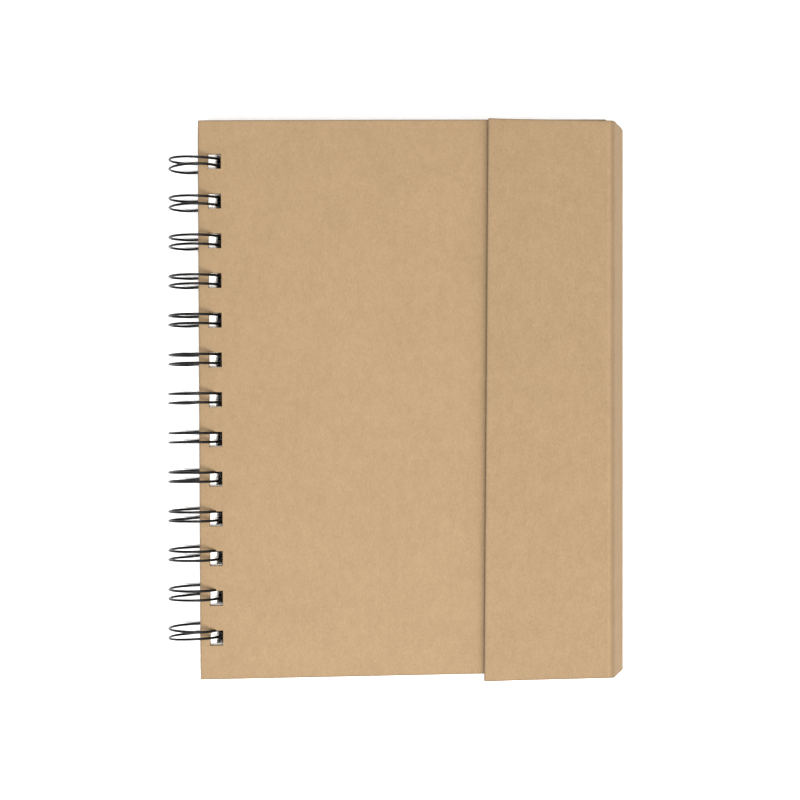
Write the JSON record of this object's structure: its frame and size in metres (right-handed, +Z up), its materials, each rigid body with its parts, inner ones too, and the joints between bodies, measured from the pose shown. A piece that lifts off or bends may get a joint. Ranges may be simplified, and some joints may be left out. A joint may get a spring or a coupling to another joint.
{
  "type": "sketchbook",
  "caption": "Wire-bound sketchbook with a kraft board cover that wraps the fore edge and closes with a flap over the front.",
  "frame": {"origin": "on the table, in the middle of the closed book's outline", "axes": "+Z up, +Y towards the head of the book along its binding, +X from the binding towards the fore edge"},
  "size_m": [0.1485, 0.1802, 0.018],
  "materials": {
    "kraft_paper": "uncoated brown kraft covering paper, fine mottled fibre",
    "core_board": "pressed recycled bookbinding board",
    "lining_paper": "smooth uncoated natural lining paper",
    "drawing_paper": "off-white drawing paper with a fine tooth",
    "black_wire": "gloss black nylon-coated steel wire",
    "nickel": "nickel plate"
  },
  "bodies": {
    "back": {"back_board": "core_board", "back_cover_paper": "kraft_paper", "back_lining": "lining_paper", "binding_wire": "black_wire", "gathering_1": "drawing_paper", "gathering_2": "drawing_paper", "gathering_3": "drawing_paper", "gathering_4": "drawing_paper"},
    "fore_edge": {"fore_edge_board": "core_board", "fore_edge_cover_paper": "kraft_paper", "fore_edge_lining": "lining_paper", "lower_fold": "kraft_paper"},
    "flap": {"flap_board": "core_board", "flap_cover_paper": "kraft_paper", "flap_lining": "lining_paper", "flap_magnet": "nickel", "upper_fold": "kraft_paper"},
    "front_cover": {"front_board": "core_board", "front_cover_paper": "kraft_paper", "front_lining": "lining_paper", "front_steel_plate": "nickel"},
    "leaf_1_sheets": {"leaf_1": "drawing_paper"},
    "leaf_2_sheets": {"leaf_2": "drawing_paper"},
    "leaf_3_sheets": {"leaf_3": "drawing_paper"},
    "leaf_4_sheets": {"leaf_4": "drawing_paper"},
    "leaf_5_sheets": {"leaf_5": "drawing_paper"}
  },
  "joints": [
    {"name": "fore_edge_fold", "type": "hinge", "parent": "back", "child": "fore_edge", "pos_m": [0.07331, 0, 0.00095], "axis": [0, 1, 0], "range_deg": [0, 109.3]},
    {"name": "flap_fold", "type": "hinge", "parent": "fore_edge", "child": "flap", "pos_m": [0.06881, 0, 0.0138], "axis": [0, 1, 0], "range_deg": [0, 70]},
    {"name": "front_cover_turn", "type": "hinge", "parent": "back", "child": "front_cover", "pos_m": [-0.06526, 0, 0.009], "axis": [0, -1, 0], "range_deg": [0, 182]},
    {"name": "leaf_1_turn", "type": "hinge", "parent": "back", "child": "leaf_1_sheets", "pos_m": [-0.06526, 0, 0.009], "axis": [0, -1, 0], "range_deg": [0, 182]},
    {"name": "leaf_2_turn", "type": "hinge", "parent": "back", "child": "leaf_2_sheets", "pos_m": [-0.06526, 0, 0.009], "axis": [0, -1, 0], "range_deg": [0, 182]},
    {"name": "leaf_3_turn", "type": "hinge", "parent": "back", "child": "leaf_3_sheets", "pos_m": [-0.06526, 0, 0.009], "axis": [0, -1, 0], "range_deg": [0, 182]},
    {"name": "leaf_4_turn", "type": "hinge", "parent": "back", "child": "leaf_4_sheets", "pos_m": [-0.06526, 0, 0.009], "axis": [0, -1, 0], "range_deg": [0, 182]},
    {"name": "leaf_5_turn", "type": "hinge", "parent": "back", "child": "leaf_5_sheets", "pos_m": [-0.06526, 0, 0.009], "axis": [0, -1, 0], "range_deg": [0, 182]}
  ],
  "couplings": [
    {"joint": "leaf_1_turn", "follows": "front_cover_turn", "ratio": 0.988},
    {"joint": "leaf_2_turn", "follows": "front_cover_turn", "ratio": 0.976},
    {"joint": "leaf_3_turn", "follows": "front_cover_turn", "ratio": 0.964},
    {"joint": "leaf_4_turn", "follows": "front_cover_turn", "ratio": 0.952},
    {"joint": "leaf_5_turn", "follows": "front_cover_turn", "ratio": 0.94}
  ]
}
